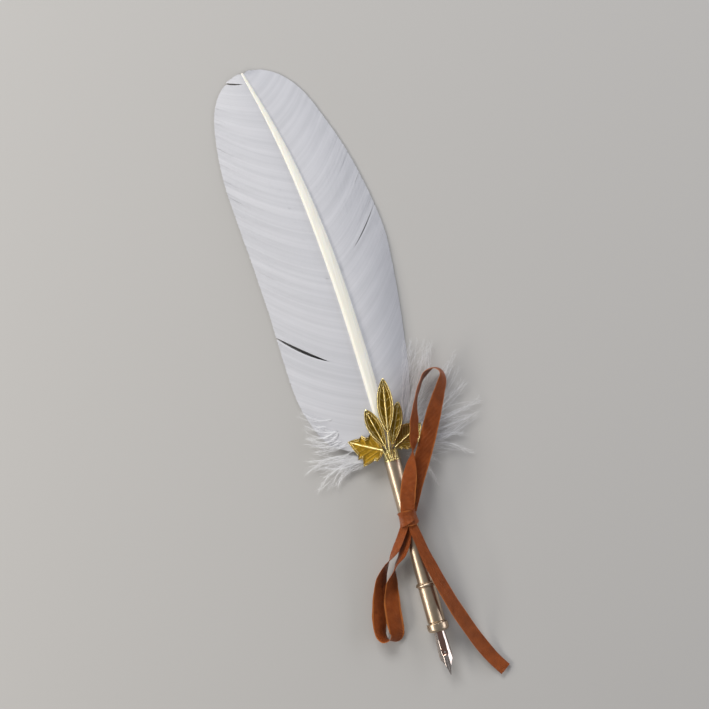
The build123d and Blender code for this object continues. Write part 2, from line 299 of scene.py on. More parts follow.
def gap_shift(gaps, root, t):
    """How far the barb is pushed along the feather by the parted places near it."""
    shift = 0
    for at, start, middle_w, margin_w, reach in gaps:
        if t > start and abs(root - at) < 3 * reach:
            part = (t - start) / (1 - start)
            width = middle_w * math.sin(math.pi * part) ** 0.8 + margin_w * part
            shift += math.copysign(0.5 * width * math.exp(-abs(root - at) / reach), root - at)
    return shift


def barb_lines(side, margin, gaps, first_root, seed):
    """Centrelines of one vane's barbs: points, chained edges and values for each point."""
    dice = random.Random(seed)
    roots = np.arange(first_root, shaft_table[-1, 0] - 0.4, BARB_PITCH)
    steps = np.linspace(0, 1, BARB_POINTS)
    web = np.zeros((len(roots), BARB_POINTS, 3))
    for i, root in enumerate(roots):
        x, z, half_w, half_h = smooth_row(shaft_table, root)
        start_x, start_z = x + side * half_w * ROOT_REACH, z + ROOT_LIFT * half_h
        end = barb_end(side, margin, root, start_x)
        web[i, :, 0] = start_x + (end[0] - start_x) * steps
        web[i, :, 1] = root + (end[1] - root) * (FIRST_SLOPE * steps + (1 - FIRST_SLOPE) * steps ** 2)
        web[i, :, 2] = start_z + (TABLE_CLEARANCE - start_z) * steps ** ARCH_POWER
    gap = np.gradient(web[:, :, :2], axis=0)
    run = np.gradient(web[:, :, :2], axis=1)
    run /= np.linalg.norm(run, axis=2)[:, :, None]
    spacing = np.abs(gap[:, :, 0] * run[:, :, 1] - gap[:, :, 1] * run[:, :, 0])
    points, edges, thick, tone = [], [], [], []
    shade = 0.5
    for i, root in enumerate(roots):
        shade += TONE_PULL * (0.5 - shade) + dice.uniform(-TONE_STEP, TONE_STEP)
        short = 1 - dice.uniform(0, SHORTEST)
        bend = dice.uniform(-BEND_MM, BEND_MM)
        for k, t in enumerate(steps):
            x, y, z = web[i, k]
            x = web[i, 0, 0] + (x - web[i, 0, 0]) * short
            y += gap_shift(gaps, root, t) + bend * t * t
            z += WAVE_MM * math.sin(root * 0.8 + 5 * t) * t
            points.append((x, y, z))
            thick.append(float(np.clip(spacing[i, k], *SPACING_LIMITS)) * OVERLAP)
            tone.append(shade)
            if k:
                edges.append((len(points) - 2, len(points) - 1))
    return points, edges, {"thick": thick, "tone": tone}


def line_object(name, points, edges, values):
    """Chains of edges with a value at each point, for a tree that gives them a body."""
    mesh = bpy.data.meshes.new(name)
    mesh.from_pydata([[c * MM for c in p] for p in points], edges, [])
    for key, numbers in values.items():
        mesh.attributes.new(key, "FLOAT", "POINT").data.foreach_set("value", numbers)
    return add_object(name, mesh)


def new_tree(name, inputs):
    """A geometry tree with named inputs, and the sockets that give their values inside it."""
    tree = bpy.data.node_groups.new(name, "GeometryNodeTree")
    tree.interface.new_socket("Geometry", in_out="OUTPUT", socket_type="NodeSocketGeometry")
    for key, kind in {"Geometry": "Geometry", **inputs, "Material": "Material"}.items():
        tree.interface.new_socket(key, in_out="INPUT", socket_type="NodeSocket" + kind)
    return tree, node(tree, "NodeGroupInput").outputs


def end_tree(tree, given, last):
    """Ends a tree: real meshes in the material that its input gives."""
    real = node(tree, "GeometryNodeRealizeInstances", {"Geometry": last})
    dressed = node(tree, "GeometryNodeSetMaterial", {"Geometry": real, "Material": given["Material"]})
    node(tree, "NodeGroupOutput", {"Geometry": dressed})


def grown(made, tree, body, values):
    """Runs a tree on an object and leaves its result as the object's plain mesh."""
    modifier = made.modifiers.new("grow", "NODES")
    modifier.node_group = tree
    for item in tree.interface.items_tree:
        if getattr(item, "in_out", "") == "INPUT" and item.name in values:
            modifier[item.identifier] = values[item.name]
    ready = made.evaluated_get(bpy.context.evaluated_depsgraph_get())
    mesh = bpy.data.meshes.new_from_object(ready)
    made.modifiers.clear()
    made.data = mesh
    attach(made, body)


# The tree gives each line a three-sided body whose ridge is up, as wide as its input says.
barb_tree, given = new_tree("barbs_on_lines", {"Width": "Float", "Height": "Float"})
thick = node(barb_tree, "GeometryNodeInputNamedAttribute", {"Name": "thick"}, data_type="FLOAT")
lines = node(barb_tree, "GeometryNodeMeshToCurve", {"Mesh": given["Geometry"]})
upright = node(barb_tree, "GeometryNodeSetCurveNormal", {"Curve": lines}, mode="Z_UP")
ring = node(barb_tree, "GeometryNodeCurvePrimitiveCircle", {"Resolution": 3, "Radius": 0.5})
shape = node(barb_tree, "ShaderNodeCombineXYZ", {"X": given["Height"], "Y": given["Width"], "Z": 1.0})
profile = node(barb_tree, "GeometryNodeTransform", {
    "Geometry": ring, "Scale": shape, "Rotation": (0, 0, math.radians(90))})
body = node(barb_tree, "GeometryNodeCurveToMesh", {
    "Curve": upright, "Profile Curve": profile, "Scale": thick, "Fill Caps": True})
facets = node(barb_tree, "GeometryNodeSetShadeSmooth", {"Geometry": body, "Shade Smooth": False})
end_tree(barb_tree, given, facets)

# The web's keratin is thin and white; hooked barbs give it a soft sheen and faint streaks.
web, tree = new_material("feather_web_keratin")
streak = node(tree, "ShaderNodeAttribute", attribute_name="tone")
tint = node(tree, "ShaderNodeMix", {0: streak.outputs["Fac"], 6: linear("#bfc0c5"), 7: linear("#d3d3d8")},
            data_type="RGBA")
finish_material(tree, {"Base Color": tint, "Roughness": 0.6, "IOR": 1.54,
                       "Sheen Weight": 0.15, "Sheen Roughness": 0.4})

for side, name, margin, gaps, first_root in ((-1, "vane_left", LEFT_MARGIN, LEFT_GAPS, 75.0),
                                             (1, "vane_right", RIGHT_MARGIN, RIGHT_GAPS, 81.0)):
    points, edges, values = barb_lines(side, margin, gaps, first_root, 11 + side)
    barbs = line_object(name + "_barbs", points, edges, values)
    grown(barbs, barb_tree, "pen_body",
          {"Width": MM, "Height": 0.0002, "Material": web})
    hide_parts(name)


# ---- Down ----
# The loose barbs at the feather's root have no hooks: they stay apart as soft plumes, each a
# thin line with finer hairs along both its sides, and they lie almost on the table.
def plume(dice, root, tip, bend):
    """One plume's centreline from root to tip, with a sideways bend and a little wander."""
    root, tip = np.array(root), np.array(tip)
    across = np.array([-(tip - root)[1], (tip - root)[0], 0])
    phase = dice.uniform(0, math.tau)
    line = []
    for k in range(PLUME_POINTS):
        t = k / (PLUME_POINTS - 1)
        away = bend * math.sin(math.pi * t) + WANDER * math.sin(phase + 7 * t) * t
        line.append(root + (tip - root) * t + across * away)
    return line


def plumes(tufts, seed):
    """Points, edges and thickness of all plumes of the tufts."""
    dice = random.Random(seed)
    points, edges, thick = [], [], []
    for x1, y1, x2, y2, tip_x, tip_y, bend, count, spread in tufts:
        for _ in range(count):
            t = dice.random()
            root = [x1 + (x2 - x1) * t, y1 + (y2 - y1) * t]
            reach = 1 - 0.55 * dice.random() ** 2
            goal = [r + (g - r) * reach + dice.gauss(0, spread) * reach
                    for r, g in zip(root, (tip_x, tip_y))]
            root.append(dice.uniform(*ROOT_HEIGHTS))
            goal.append(dice.uniform(*TIP_HEIGHTS))
            for k, p in enumerate(plume(dice, root, goal, bend + dice.gauss(0, 0.05))):
                points.append((p[0], p[1], max(p[2], LEAST_HEIGHT)))
                thick.append(FOOT_THICKNESS - THINNING * k / (PLUME_POINTS - 1))
                if k:
                    edges.append((len(points) - 2, len(points) - 1))
    return points, edges, {"thick": thick}


PLUME_POINTS = 16
WANDER = 0.018
FOOT_THICKNESS = 1.2
THINNING = 0.9
# Heights over the table: where plumes start, where they end, and the least anywhere
ROOT_HEIGHTS = (1.6, 4.0)
TIP_HEIGHTS = (1.0, 2.6)
LEAST_HEIGHT = 0.95
# Each tuft: the ends of the line its plumes grow from, the tip they reach for, their bend,
# how many there are and how far they spread, in millimetres
LEFT_TUFTS = [
    (-19, 94, -25, 97, -32.6, 100.6, 0.08, 5, 0.7), (-18, 88, -24, 93, -32.2, 95.0, 0.10, 9, 1.2),
    (-16, 85, -22, 90, -33.2, 89.8, 0.12, 10, 1.0), (-15, 82, -20, 86, -31.4, 85.9, 0.12, 9, 1.2),
    (-12, 80, -17, 84, -30.4, 82.4, 0.10, 7, 0.8), (-8, 74.0, -11, 76.5, -34.3, 80.0, 0.03, 10, 1.0),
    (-8, 73.5, -11, 76.0, -31.5, 77.0, 0.04, 11, 1.2), (-7, 73, -11, 76, -38.6, 76.2, -0.16, 4, 0.35),
    (-8, 73, -12, 75.5, -30.0, 72.5, -0.08, 9, 1.0), (-7, 73, -11, 75.0, -34.0, 66.6, -0.16, 6, 0.4),
    (-7, 73, -10, 75.0, -28.4, 66.8, -0.17, 4, 0.3), (-7, 73, -10, 74.6, -26.2, 66.8, -0.18, 4, 0.3),
    (-6, 73, -9, 75.0, -21.0, 71.0, -0.06, 12, 0.9), (-6, 74, -10, 76.5, -23.0, 76.5, 0.02, 14, 1.0),
]
RIGHT_TUFTS = [
    (5, 83, 10, 90, 17.8, 117.5, 0.05, 8, 0.8), (6, 82, 11, 90, 21.8, 116.6, 0.06, 9, 0.8),
    (7, 82, 12, 90, 25.6, 116.6, 0.05, 6, 0.8), (7, 82, 13, 90, 28.8, 114.6, -0.06, 9, 0.9),
    (9, 84, 15, 92, 38.4, 108.2, -0.07, 5, 0.5), (8, 82, 16, 90, 35.6, 103.6, -0.05, 6, 0.9),
    (8, 82, 16, 88, 38.8, 103.0, -0.09, 4, 0.4), (8, 80, 16, 86, 38.0, 95.2, -0.07, 9, 0.9),
    (8, 78, 16, 84, 42.6, 85.4, 0.05, 8, 0.8), (8, 78, 16, 82, 43.8, 81.2, 0.04, 6, 0.5),
    (8, 77, 16, 80, 38.2, 81.0, -0.06, 9, 1.0), (8, 76, 16, 78, 42.6, 78.6, -0.14, 5, 0.4),
    (8, 75, 15, 77, 32.6, 75.0, 0.08, 8, 1.0), (8, 74, 15, 75, 34.4, 65.4, 0.10, 5, 0.5),
    (7, 74, 13, 74, 27.0, 68.4, 0.02, 7, 1.0), (6, 73, 11, 72, 19.4, 65.4, 0.05, 6, 0.8),
    (6, 72, 10, 70, 16.4, 56.8, 0.10, 6, 0.8), (6, 72, 9, 68, 12.2, 59.6, 0.06, 4, 0.6),
    (6, 80, 13, 88, 22.0, 102.0, 0.03, 16, 2.2), (7, 79, 14, 84, 25.0, 92.0, 0.0, 16, 2.4),
    (7, 77, 13, 80, 24.0, 82.0, 0.0, 14, 2.2),
]

# The tree gives each plume its body, and sets hairs along it that fork off at an angle.
down_tree, given = new_tree("plumes_on_lines", {
    "Plume width": "Float", "Hair width": "Float", "Hair length": "Float", "Hair spacing": "Float",
    "Seed": "Int"})
thick = node(down_tree, "GeometryNodeInputNamedAttribute", {"Name": "thick"}, data_type="FLOAT")
lines = node(down_tree, "GeometryNodeMeshToCurve", {"Mesh": given["Geometry"]})
ring = node(down_tree, "GeometryNodeCurvePrimitiveCircle", {"Resolution": 3, "Radius": 0.5})
body_scale = node(down_tree, "ShaderNodeMath", {0: thick, 1: given["Plume width"]},
                  operation="MULTIPLY")
body = node(down_tree, "GeometryNodeCurveToMesh", {
    "Curve": lines, "Profile Curve": ring, "Scale": body_scale, "Fill Caps": True})
spots = node(down_tree, "GeometryNodeCurveToPoints", {
    "Curve": lines, "Length": given["Hair spacing"]}, mode="LENGTH")
hair = node(down_tree, "GeometryNodeCurveQuadraticBezier", {
    "Resolution": 3, "Start": (0, 0, 0), "Middle": (0.42, 0, 0.3), "End": (0.62, 0, 0.85)})
spin = node(down_tree, "FunctionNodeRandomValue", {2: 0.0, 3: math.tau, "Seed": given["Seed"]},
            data_type="FLOAT")
turn = node(down_tree, "FunctionNodeAxisAngleToRotation", {"Axis": (0, 0, 1), "Angle": spin})
aimed = node(down_tree, "FunctionNodeRotateRotation", {
    "Rotation": spots.outputs["Rotation"], "Rotate By": turn}, rotation_space="LOCAL")
shorter, longer = (node(down_tree, "ShaderNodeMath", {0: given["Hair length"], 1: part},
                        operation="MULTIPLY") for part in (0.4, 1.4))
size = node(down_tree, "FunctionNodeRandomValue", {
    2: shorter, 3: longer, "Seed": given["Seed"]}, data_type="FLOAT")
hairs = node(down_tree, "GeometryNodeInstanceOnPoints", {
    "Points": spots, "Instance": hair, "Rotation": aimed, "Scale": size})
real = node(down_tree, "GeometryNodeRealizeInstances", {"Geometry": hairs})
along = node(down_tree, "GeometryNodeSplineParameter")
taper = node(down_tree, "ShaderNodeMath", {0: 1.15, 1: along}, operation="SUBTRACT")
hair_scale = node(down_tree, "ShaderNodeMath", {0: taper, 1: given["Hair width"]}, operation="MULTIPLY")
hair_body = node(down_tree, "GeometryNodeCurveToMesh", {
    "Curve": real, "Profile Curve": ring, "Scale": hair_scale, "Fill Caps": True})
both = node(down_tree, "GeometryNodeJoinGeometry", {"Geometry": body})
down_tree.links.new(hair_body.outputs[0], both.inputs[0])
facets = node(down_tree, "GeometryNodeSetShadeSmooth", {"Geometry": both, "Shade Smooth": False})
end_tree(down_tree, given, facets)

# Down is white and so fine that it glows; its hairs are drawn about four times too thick.
fluff = two_tone("down_keratin", "#f0f0f4", "#ffffff", (400, 400, 400), {"Roughness": 0.8, "IOR": 1.54})

for name, tufts, seed in (("down_left", LEFT_TUFTS, 21), ("down_right", RIGHT_TUFTS, 22)):
    points, edges, values = plumes(tufts, seed)
    tuft = line_object(name + "_plumes", points, edges, values)
    grown(tuft, down_tree, "pen_body",
          {"Plume width": 0.00013, "Hair width": 0.000045, "Hair length": 0.0018,
           "Hair spacing": 0.0004, "Seed": seed, "Material": fluff})
    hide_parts(name)


# ---- Barrel and what is inside it ----
# A drawn brass tube plated in pale champagne, its ends broken to a small round. A bush pressed
# in its lower end takes the grip's screw, and glue fills the gap round the quill above.
def rounded(outline, radius):
    """The closed (radius, station) outline with its corners broken to a small round."""
    done = []
    for i, corner in enumerate(outline):
        here = Vector(corner)
        back = Vector(outline[i - 1]) - here
        on = Vector(outline[(i + 1) % len(outline)]) - here
        reach = min(radius, 0.4 * back.length, 0.4 * on.length)
        first, last = here + reach * back.normalized(), here + reach * on.normalized()
        for k in range(CORNER_STEPS + 1):
            t = k / CORNER_STEPS
            done.append((1 - t) ** 2 * first + 2 * t * (1 - t) * here + t * t * last)
    return done


def outward(made):
    """Merges doubles and turns every face outwards."""
    work = bmesh.new()
    work.from_mesh(made.data)
    bmesh.ops.remove_doubles(work, verts=work.verts, dist=2e-6)
    bmesh.ops.recalc_face_normals(work, faces=work.faces)
    work.to_mesh(made.data)
    work.free()
    return made


def turned(name, outline, radius, material, body):
    """A lathe-turned piece about the pen's axis, from its closed outline."""
    outline = rounded(outline, radius)
    rings = len(outline)
    points = []
    for i in range(AROUND):
        angle = math.tau * i / AROUND
        points += [(r * math.sin(angle), y, AXIS_Z + r * math.cos(angle)) for r, y in outline]
    faces = [(i * rings + k, i * rings + (k + 1) % rings,
              (i + 1) % AROUND * rings + (k + 1) % rings, (i + 1) % AROUND * rings + k)
             for i in range(AROUND) for k in range(rings)]
    made = outward(mesh_of(name, points, faces, 50))
    dress(made, material, body)
    return made


def box_mm(name):
    """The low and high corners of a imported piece, in millimetres."""
    return [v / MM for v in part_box(name)]


AROUND = 96
CORNER_STEPS = 4
BARREL_WALL = 0.6
EDGE_ROUND = 0.12
barrel_low, barrel_high = box_mm("barrel_tube")
AXIS_Z = (barrel_low.z + barrel_high.z) / 2
BARREL_R = barrel_high.x

# Champagne plate over turned brass: a bright metal whose turning lines stretch the highlights.
champagne, tree = new_material("satin_champagne_plate")
place = node(tree, "ShaderNodeTexCoord")
# Turning lines are 0.05 mm apart; drawn at 0.25 mm, because finer ones would not show
lathe = node(tree, "ShaderNodeMapping", {"Vector": place.outputs["Object"], "Scale": (20, 4000, 20)})
lines = node(tree, "ShaderNodeTexNoise", {"Vector": lathe, "Scale": 1.0, "Detail": 2.0})
wear = node(tree, "ShaderNodeTexNoise", {"Vector": place.outputs["Object"], "Scale": 180.0, "Detail": 4.0})
tint = node(tree, "ShaderNodeMix", {0: wear, 6: linear("#b09b80"), 7: linear("#dccab4")},
            data_type="RGBA")
rough = node(tree, "ShaderNodeMapRange", {"Value": wear, "To Min": 0.3, "To Max": 0.4})
bump = node(tree, "ShaderNodeBump", {"Height": lines, "Strength": 0.12, "Distance": 0.00002})
finish_material(tree, {"Base Color": tint, "Metallic": 1.0, "Roughness": rough,
    "Anisotropic": 0.4, "Normal": bump})

# Bare turned brass, warmer and duller, inside the pen.
brass = two_tone("bare_turned_brass", "#b08d4c", "#d4b46e", (30, 3000, 30),
                 {"Metallic": 1.0, "Roughness": 0.35})

# Set epoxy, milky and glossy, a little uneven under its face.
epoxy = two_tone("set_epoxy", "#cfc8b4", "#e9e4d6", (900, 900, 900),
                 {"Roughness": 0.25, "IOR": 1.5, "Transmission Weight": 0.2})

barrel = turned("barrel", [(BARREL_R - BARREL_WALL, barrel_low.y), (BARREL_R, barrel_low.y),
                           (BARREL_R, barrel_high.y), (BARREL_R - BARREL_WALL, barrel_high.y)],
                EDGE_ROUND, champagne, "pen_body")
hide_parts("barrel_tube")
for name, material in (("barrel_bush", brass), ("quill_glue", epoxy), ("nib_clip", brass)):
    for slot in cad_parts[name].material_slots:
        slot.material = material


# ---- Trim ring ----
# A loose turned bead that is trapped between barrel and grip when the pen is screwed up, with
# a fine groove each side of its round.
ring_low, ring_high = box_mm("trim_ring")
RING_BORE = 1.9
RING_FACE_R = 3.95
RING_LIP = 0.22
# The bead turns freely between its neighbours, so a hair's gap stays at both its faces
SEAT_GAP = 0.03
ring_low.y += SEAT_GAP
ring_high.y -= SEAT_GAP
bead = (ring_high.y - ring_low.y) / 2
outline = [(RING_BORE, ring_low.y), (RING_FACE_R, ring_low.y), (RING_FACE_R, ring_low.y + RING_LIP)]
outline += [(ring_high.x - bead * 0.9 + bead * 0.9 * math.cos(a),
             ring_low.y + bead + bead * 0.78 * math.sin(a))
            for a in (math.radians(d) for d in range(-80, 81, 10))]
outline += [(RING_FACE_R, ring_high.y - RING_LIP), (RING_FACE_R, ring_high.y), (RING_BORE, ring_high.y)]
trim = turned("trim_bead", outline, 0.05, champagne, "trim_ring")
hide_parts("trim_ring")


# ---- Grip ----
# A brass core with a plated sleeve over it. The core's spigot is cut with a coarse screw
# thread of six turns, and its front is bored out for the nib.
sleeve_low, sleeve_high = box_mm("grip_sleeve")
core_low, core_high = box_mm("grip_core")
CORE_R = 3.0
SOCKET_R = 2.45
SOCKET_END = 13.5
SPIGOT_R = 1.8
THREAD_DEPTH = 0.32
THREAD_PITCH = 1.0
# The thread starts a little behind the sleeve, and some of the spigot's length stays plain
THREAD_START = 0.8
PLAIN_TURNS = 1.4
SLEEVE_R = sleeve_high.x
sleeve = turned("sleeve", [(CORE_R, sleeve_low.y), (SLEEVE_R - 0.25, sleeve_low.y),
                           (SLEEVE_R, sleeve_low.y + 0.35), (SLEEVE_R, sleeve_high.y - 0.1),
                           (SLEEVE_R - 0.1, sleeve_high.y), (CORE_R, sleeve_high.y)],
                0.2, champagne, "front_section")
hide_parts("grip_sleeve")
spigot_start, spigot_end = sleeve_high.y, core_high.y
core = turned("core_and_spigot", [(SOCKET_R, core_low.y), (CORE_R, core_low.y), (CORE_R, spigot_start),
    (SPIGOT_R - THREAD_DEPTH, spigot_start), (SPIGOT_R - THREAD_DEPTH, spigot_end),
    (0.0, spigot_end), (0.0, SOCKET_END), (SOCKET_R, SOCKET_END)],
    0.08, brass, "front_section")
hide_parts("grip_core")

# The tree winds a spiral of the thread's pitch and carries a triangular profile along it.
thread_tree, given = new_tree("thread_on_spiral", {
    "Radius": "Float", "Pitch": "Float", "Turns": "Float", "Depth": "Float", "Place": "Vector"})
height = node(thread_tree, "ShaderNodeMath", {0: given["Pitch"], 1: given["Turns"]}, operation="MULTIPLY")
spiral = node(thread_tree, "GeometryNodeCurveSpiral", {
    "Resolution": 48, "Rotations": given["Turns"], "Start Radius": given["Radius"],
    "End Radius": given["Radius"], "Height": height})
ring = node(thread_tree, "GeometryNodeCurvePrimitiveCircle", {"Resolution": 4, "Radius": given["Depth"]})
body = node(thread_tree, "GeometryNodeCurveToMesh", {
    "Curve": spiral, "Profile Curve": ring, "Fill Caps": True})
laid = node(thread_tree, "GeometryNodeTransform", {
    "Geometry": body, "Translation": given["Place"], "Rotation": (math.radians(-90), 0, 0)})
end_tree(thread_tree, given, laid)
thread = add_object("spigot_thread", bpy.data.meshes.new("spigot_thread"))
turns = (spigot_end - spigot_start) / THREAD_PITCH - PLAIN_TURNS
grown(thread, thread_tree, "front_section", {
    "Radius": (SPIGOT_R - THREAD_DEPTH) * MM, "Pitch": THREAD_PITCH * MM, "Turns": turns,
    "Depth": THREAD_DEPTH * MM, "Place": (0, (spigot_start + THREAD_START) * MM, AXIS_Z * MM),
    "Material": brass})


# ---- Front collar ----
# A plated bell at the nib end, whose flat land is what a pen stand grips, and a narrow neck
# behind it.
collar_low, collar_high = box_mm("front_collar")
COLLAR_R = collar_high.x
NECK_R = 3.4
MOUTH_R = 3.0
LAND = (-1.1, 0.9)
bell = [(MOUTH_R + (COLLAR_R - MOUTH_R) * math.sin(a), LAND[0] - (LAND[0] - collar_low.y) * math.cos(a))
        for a in (math.radians(d) for d in range(0, 90, 10))]
collar = turned("bell_collar", [(SOCKET_R, collar_low.y)] + bell + [
    (COLLAR_R, LAND[0]), (COLLAR_R, LAND[1]), (NECK_R, LAND[1]), (NECK_R, collar_high.y),
    (CORE_R, collar_high.y), (CORE_R, core_low.y), (SOCKET_R, core_low.y)],
    0.1, champagne, "front_section")
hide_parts("front_collar")


# ---- Nib ----
# A dip nib pressed from spring steel sheet: a half tube that widens to its shoulders, with a
# long pressed channel on its crown, then tapers to a point slit as far as a round vent.
def nib_half(y):
    """Half width of the nib's sheet at a station, seen from above."""
    return float(np.interp(-y, [-s for s, _ in NIB_EDGE], [w for _, w in NIB_EDGE]))


def nib_bend(y):
    """Radius of the nib's sheet at a station, and how far its crown has come down."""
    return (float(np.interp(-y, BEND_STATIONS, BEND_RADII)),
            float(np.interp(-y, BEND_STATIONS, CROWN_DROPS)))


def nib_point(y, x, sink):
    """A point of the nib's sheet, sunk under its upper face."""
    radius, drop = nib_bend(y)
    centre = AXIS_Z + SHANK_R - drop - radius
    angle = x / radius
    flank = abs(angle) - FLANK
    if abs(flank) < FLANK_HALF:
        radius *= math.cos(FLANK_HALF) / math.cos(flank)
    channel = CHANNEL_DEPTH * np.clip(1 - (x / CHANNEL_HALF) ** 4, 0, 1)
    channel *= np.clip((y - CHANNEL_END) / CHANNEL_RUN_OUT, 0, 1) ** 0.5
    radius = radius - channel - sink
    return radius * math.sin(angle), y, centre + radius * math.cos(angle)


SHANK_R = 2.35
BEND_STATIONS = (3.7, 14.7, 22.0)
BEND_RADII = (SHANK_R, 2.95, 3.3)
CROWN_DROPS = (0.0, 0.5, 1.6)
NIB_EDGE = [(11.5, SHANK_R), (-3.7, SHANK_R), (-13.2, 2.82), (-14.7, 2.6), (-15.9, 1.9),
            (-17.4, 1.2), (-19.2, 0.62), (-21.5, 0.16)]
NIB_T = 0.3
NIB_WRAP = math.radians(100)
WRAP_END = 12.4
CHANNEL_DEPTH = 0.5
CHANNEL_HALF = 1.3
FLANK = math.radians(39)
FLANK_HALF = math.radians(18)
CHANNEL_END = -12.9
CHANNEL_RUN_OUT = 1.2
VENT_Y = -11.6
VENT_R = 0.45
SLIT_HALF = 0.05
ROWS = 210
COLUMNS = 22
nib_low, nib_high = box_mm("nib")
points, painted_reflection_mask, faces = [], [], []
for side in (-1, 1):
    first = len(points)
    for row in range(ROWS + 1):
        y = nib_high.y + (nib_low.y - nib_high.y) * row / ROWS
        radius = nib_bend(y)[0]
        plan = math.asin(min(nib_half(y) / radius, 1))
        wrap = NIB_WRAP + (plan - NIB_WRAP) * float(np.clip(-y - WRAP_END, 0, 1))
        outer = radius * wrap
        inner = SLIT_HALF if y < VENT_Y else 0.0
        if abs(y - VENT_Y) < VENT_R:
            inner = max(inner, math.sqrt(VENT_R ** 2 - (y - VENT_Y) ** 2))
        for sink in (0.0, NIB_T):
            for column in range(COLUMNS + 1):
                x = inner + (outer - inner) * column / COLUMNS
                points.append(nib_point(y, side * x, sink))
                painted_reflection_mask.append(float(x < CHANNEL_HALF and y > CHANNEL_END))
    wide = COLUMNS + 1
    for row in range(ROWS):
        top, under = first + 2 * wide * row, first + 2 * wide * row + wide
        next_top, next_under = top + 2 * wide, under + 2 * wide
        for k in range(COLUMNS):
            faces.append((top + k, top + k + 1, next_top + k + 1, next_top + k))
            faces.append((under + k + 1, under + k, next_under + k, next_under + k + 1))
        faces.append((top + COLUMNS, under + COLUMNS, next_under + COLUMNS, next_top + COLUMNS))
        y = nib_high.y + (nib_low.y - nib_high.y) * (row + 0.5) / ROWS
        if y < VENT_Y + VENT_R:
            faces.append((under, top, next_top, next_under))
    for end in (first, first + 2 * wide * ROWS):
        for k in range(COLUMNS):
            faces.append((end + k, end + k + 1, end + wide + k + 1, end + wide + k))
nib = mesh_of("steel_nib", points, faces, 45)
# The pressed channel's mask, which carries its painted brown reflection
nib.data.attributes.new("painted_reflection", "FLOAT", "POINT").data.foreach_set("value", painted_reflection_mask)
outward(nib)

# Spring steel, pressed and polished, with fine grinding lines and a straw tint from temper.
steel, tree = new_material("polished_spring_steel")
place = node(tree, "ShaderNodeTexCoord")
grain = node(tree, "ShaderNodeMapping", {"Vector": place.outputs["Object"], "Scale": (3500, 90, 3500)})
lines = node(tree, "ShaderNodeTexNoise", {"Vector": grain, "Scale": 1.0, "Detail": 3.0})
temper = node(tree, "ShaderNodeTexNoise", {"Vector": place.outputs["Object"], "Scale": 260.0})
plain_steel = node(tree, "ShaderNodeMix", {0: temper, 6: linear("#bba89d"), 7: linear("#dcd4cd")},
             data_type="RGBA")
# Painted reflection: the pressed channel is tinted a darker brown, standing in for the brown ribbon
# mirrored in it
painted_reflection = node(tree, "ShaderNodeAttribute", attribute_name="painted_reflection")
tint = node(tree, "ShaderNodeMix", {0: painted_reflection.outputs["Fac"], 6: plain_steel, 7: linear("#b58d7e")},
            data_type="RGBA")
rough = node(tree, "ShaderNodeMapRange", {"Value": lines, "To Min": 0.1, "To Max": 0.22})
bump = node(tree, "ShaderNodeBump", {"Height": lines, "Strength": 0.1, "Distance": 0.00001})
finish_material(tree, {"Base Color": tint, "Metallic": 1.0, "Roughness": rough, "Normal": bump})
dress(nib, steel, "nib")
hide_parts("nib")


# ---- Leaf ornament ----
# Five stamped and gilt brass leaves on wire stems, brazed to a collar on the barrel's mouth.
# Each has a double raised rim, a midrib and side veins standing on a stippled ground.
def ridge(at, height, middle, width):
    """Height at a place on a rounded ridge."""
    return height * math.exp(-((at - middle) / width) ** 2)


def leaf_height(x, y, edge, length, spacing, vein_height):
    """Relief of a leaf's upper face at a point; edge is its distance from the margin."""
    rim = ridge(edge, *OUTER_RIM) + ridge(edge, *INNER_RIM)
    rib = ridge(x, RIB_FOOT - RIB_FALL * y / length, 0, RIB_WIDTH)
    row = (y - VEIN_SLANT * abs(x)) / spacing
    off = (row - math.floor(row) - 0.5) * spacing
    vein = ridge(off, vein_height, 0, 0.06 * spacing + 0.09) * min(edge / 0.5, 1)
    return max(rim, rib, vein)


